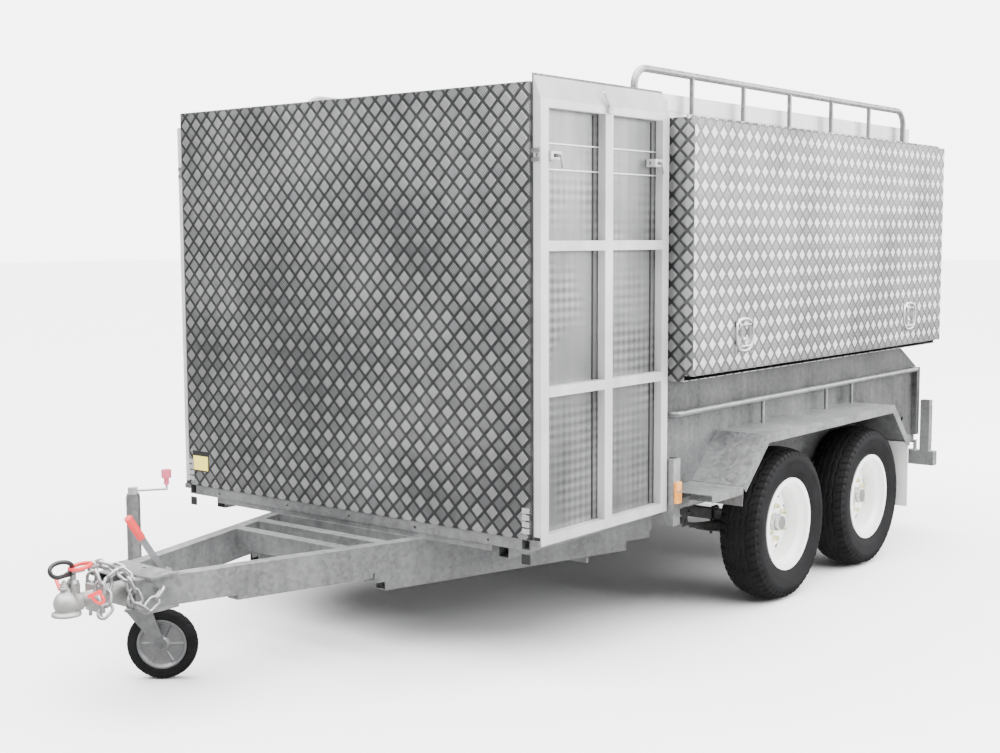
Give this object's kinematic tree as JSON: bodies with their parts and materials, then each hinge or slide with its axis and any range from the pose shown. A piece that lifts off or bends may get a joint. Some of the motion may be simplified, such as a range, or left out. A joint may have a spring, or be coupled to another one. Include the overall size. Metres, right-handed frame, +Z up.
{
  "type": "livestock trailer",
  "caption": "Tandem-axle galvanised trailer with a tread-plate stock box, drop ramps at its sides, toolboxes with lift-up lids, a roof rack and a jockey wheel.",
  "frame": {"origin": "middle of the overall outline, on the ground", "axes": "+X to the trailer's left (kerb) side, -Y forward to the coupling, +Z up"},
  "size_m": [2.3, 4.67, 2.186],
  "materials": {
    "galvanised_steel": "hot-dip galvanised",
    "tread_plate": "raised five-bar tread",
    "tyre_rubber": "matt",
    "white_rim": "gloss white",
    "hub_steel": "zinc plated",
    "lamp_amber": "ribbed lens",
    "lamp_red": "ribbed lens",
    "flap_plastic": "pale grey",
    "cast_steel": "zinc coated casting",
    "chain_steel": "galvanised",
    "shackle_red": "painted bow",
    "lever_steel": "grey with a red grip",
    "pipe_black": "black coated steel pipe",
    "chrome_lock": "polished",
    "jockey_rubber": "ribbed"
  },
  "bodies": {
    "chassis": {"axles": "galvanised_steel", "leaf_springs": "galvanised_steel", "spring_hangers": "galvanised_steel", "equalisers": "galvanised_steel", "drawbar_arm_left": "galvanised_steel", "drawbar_arm_right": "galvanised_steel", "drawbar_crossmembers": "galvanised_steel", "drawbar_stiffeners": "galvanised_steel", "floor_frame": "galvanised_steel", "tray": "galvanised_steel", "rear_frame": "galvanised_steel", "front_box_frame": "galvanised_steel", "front_panel": "tread_plate", "roof_panel": "tread_plate", "mudguard_left": "galvanised_steel", "mudguard_right": "galvanised_steel", "mudflaps": "flap_plastic", "rope_rails": "galvanised_steel", "side_marker_lamps": "lamp_amber", "tail_lamps": "lamp_red", "toolbox_left": "tread_plate", "toolbox_right": "tread_plate", "roof_rack": "galvanised_steel", "jockey_outer_tube": "galvanised_steel", "coupling_body": "cast_steel", "safety_chains": "chain_steel", "shackles": "shackle_red", "brake_pipe": "pipe_black"},
    "wheel_front_left": {"tyre_front_left": "tyre_rubber", "rim_front_left": "white_rim", "hub_front_left": "hub_steel"},
    "wheel_front_right": {"tyre_front_right": "tyre_rubber", "rim_front_right": "white_rim", "hub_front_right": "hub_steel"},
    "wheel_rear_left": {"tyre_rear_left": "tyre_rubber", "rim_rear_left": "white_rim", "hub_rear_left": "hub_steel"},
    "wheel_rear_right": {"tyre_rear_right": "tyre_rubber", "rim_rear_right": "white_rim", "hub_rear_right": "hub_steel"},
    "ramp_left": {"ramp_left": "galvanised_steel"},
    "ramp_bolt_left_front": {"ramp_bolt_left_front": "hub_steel"},
    "ramp_bolt_left_rear": {"ramp_bolt_left_rear": "hub_steel"},
    "lid_left": {"lid_left": "tread_plate"},
    "lock_handle_left_front": {"lock_handle_left_front": "chrome_lock"},
    "lock_handle_left_rear": {"lock_handle_left_rear": "chrome_lock"},
    "ramp_right": {"ramp_right": "galvanised_steel"},
    "ramp_bolt_right_front": {"ramp_bolt_right_front": "hub_steel"},
    "ramp_bolt_right_rear": {"ramp_bolt_right_rear": "hub_steel"},
    "lid_right": {"lid_right": "tread_plate"},
    "lock_handle_right_front": {"lock_handle_right_front": "chrome_lock"},
    "lock_handle_right_rear": {"lock_handle_right_rear": "chrome_lock"},
    "tailgate": {"tailgate": "galvanised_steel"},
    "jockey_leg": {"jockey_inner_tube": "galvanised_steel"},
    "jockey_crank": {"jockey_crank": "hub_steel"},
    "jockey_caster": {"jockey_fork": "galvanised_steel"},
    "jockey_wheel": {"jockey_wheel": "jockey_rubber"},
    "coupling_head": {"coupling_head": "cast_steel"},
    "coupling_latch": {"coupling_latch": "cast_steel"},
    "handbrake_lever": {"handbrake_lever": "lever_steel"}
  },
  "joints": [
    {"name": "wheel_front_left_spin", "type": "hinge", "parent": "chassis", "child": "wheel_front_left", "pos_m": [1.02, 0.508, 0.325], "axis": [1, 0, 0], "continuous": true},
    {"name": "wheel_front_right_spin", "type": "hinge", "parent": "chassis", "child": "wheel_front_right", "pos_m": [-1.02, 0.508, 0.325], "axis": [1, 0, 0], "continuous": true},
    {"name": "wheel_rear_left_spin", "type": "hinge", "parent": "chassis", "child": "wheel_rear_left", "pos_m": [1.02, 1.312, 0.325], "axis": [1, 0, 0], "continuous": true},
    {"name": "wheel_rear_right_spin", "type": "hinge", "parent": "chassis", "child": "wheel_rear_right", "pos_m": [-1.02, 1.312, 0.325], "axis": [1, 0, 0], "continuous": true},
    {"name": "ramp_left_hinge", "type": "hinge", "parent": "chassis", "child": "ramp_left", "pos_m": [0.9375, -0.6445, 0.487], "axis": [0, 1, 0], "range_deg": [0, 107]},
    {"name": "ramp_bolt_left_front_slide", "type": "slide", "parent": "ramp_left", "child": "ramp_bolt_left_front", "axis": [0, -1, 0], "range_m": [0, 0.016]},
    {"name": "ramp_bolt_left_rear_slide", "type": "slide", "parent": "ramp_left", "child": "ramp_bolt_left_rear", "axis": [0, 1, 0], "range_m": [0, 0.016]},
    {"name": "lid_left_hinge", "type": "hinge", "parent": "chassis", "child": "lid_left", "pos_m": [1.016, 1.019, 1.9945], "axis": [0, -1, 0], "range_deg": [0, 110]},
    {"name": "lock_handle_left_front_hinge", "type": "hinge", "parent": "lid_left", "child": "lock_handle_left_front", "pos_m": [1.0585, 0.181, 1.187], "axis": [0, -1, 0], "range_deg": [0, 75]},
    {"name": "lock_handle_left_rear_hinge", "type": "hinge", "parent": "lid_left", "child": "lock_handle_left_rear", "pos_m": [1.0585, 1.842, 1.187], "axis": [0, -1, 0], "range_deg": [0, 75]},
    {"name": "ramp_right_hinge", "type": "hinge", "parent": "chassis", "child": "ramp_right", "pos_m": [-0.9375, -0.6445, 0.487], "axis": [0, -1, 0], "range_deg": [0, 107]},
    {"name": "ramp_bolt_right_front_slide", "type": "slide", "parent": "ramp_right", "child": "ramp_bolt_right_front", "axis": [0, -1, 0], "range_m": [0, 0.016]},
    {"name": "ramp_bolt_right_rear_slide", "type": "slide", "parent": "ramp_right", "child": "ramp_bolt_right_rear", "axis": [0, 1, 0], "range_m": [0, 0.016]},
    {"name": "lid_right_hinge", "type": "hinge", "parent": "chassis", "child": "lid_right", "pos_m": [-1.016, 1.019, 1.9945], "axis": [0, 1, 0], "range_deg": [0, 110]},
    {"name": "lock_handle_right_front_hinge", "type": "hinge", "parent": "lid_right", "child": "lock_handle_right_front", "pos_m": [-1.0585, 0.181, 1.187], "axis": [0, 1, 0], "range_deg": [0, 75]},
    {"name": "lock_handle_right_rear_hinge", "type": "hinge", "parent": "lid_right", "child": "lock_handle_right_rear", "pos_m": [-1.0585, 1.842, 1.187], "axis": [0, 1, 0], "range_deg": [0, 75]},
    {"name": "tailgate_hinge", "type": "hinge", "parent": "chassis", "child": "tailgate", "pos_m": [0, 2.313, 0.451], "axis": [-1, 0, 0], "range_deg": [0, 90]},
    {"name": "jockey_crank_turn", "type": "hinge", "parent": "chassis", "child": "jockey_crank", "pos_m": [-0.198, -1.877, 0.66], "axis": [0, 0, 1], "range_deg": [-5402, 1352]},
    {"name": "jockey_leg_slide", "type": "slide", "parent": "chassis", "child": "jockey_leg", "axis": [0, 0, 1], "range_m": [-0.12, 0.03]},
    {"name": "jockey_swivel", "type": "hinge", "parent": "jockey_leg", "child": "jockey_caster", "pos_m": [-0.198, -1.877, 0.265], "axis": [0, 0, 1], "continuous": true},
    {"name": "jockey_wheel_spin", "type": "hinge", "parent": "jockey_caster", "child": "jockey_wheel", "pos_m": [-0.12874, -1.82111, 0.125], "axis": [-0.628, 0.7782, 0], "continuous": true},
    {"name": "override_slide", "type": "slide", "parent": "chassis", "child": "coupling_head", "axis": [0, 1, 0], "range_m": [0, 0.05]},
    {"name": "coupling_latch_lift", "type": "hinge", "parent": "coupling_head", "child": "coupling_latch", "pos_m": [0, -2.26, 0.446], "axis": [-1, 0, 0], "range_deg": [0, 45]},
    {"name": "handbrake_lever_pull", "type": "hinge", "parent": "chassis", "child": "handbrake_lever", "pos_m": [0, -1.902, 0.412], "axis": [-1, 0, 0], "range_deg": [0, 60]}
  ],
  "couplings": [
    {"joint": "jockey_crank_turn", "follows": "jockey_leg_slide", "rad_per_m": 785.4}
  ]
}
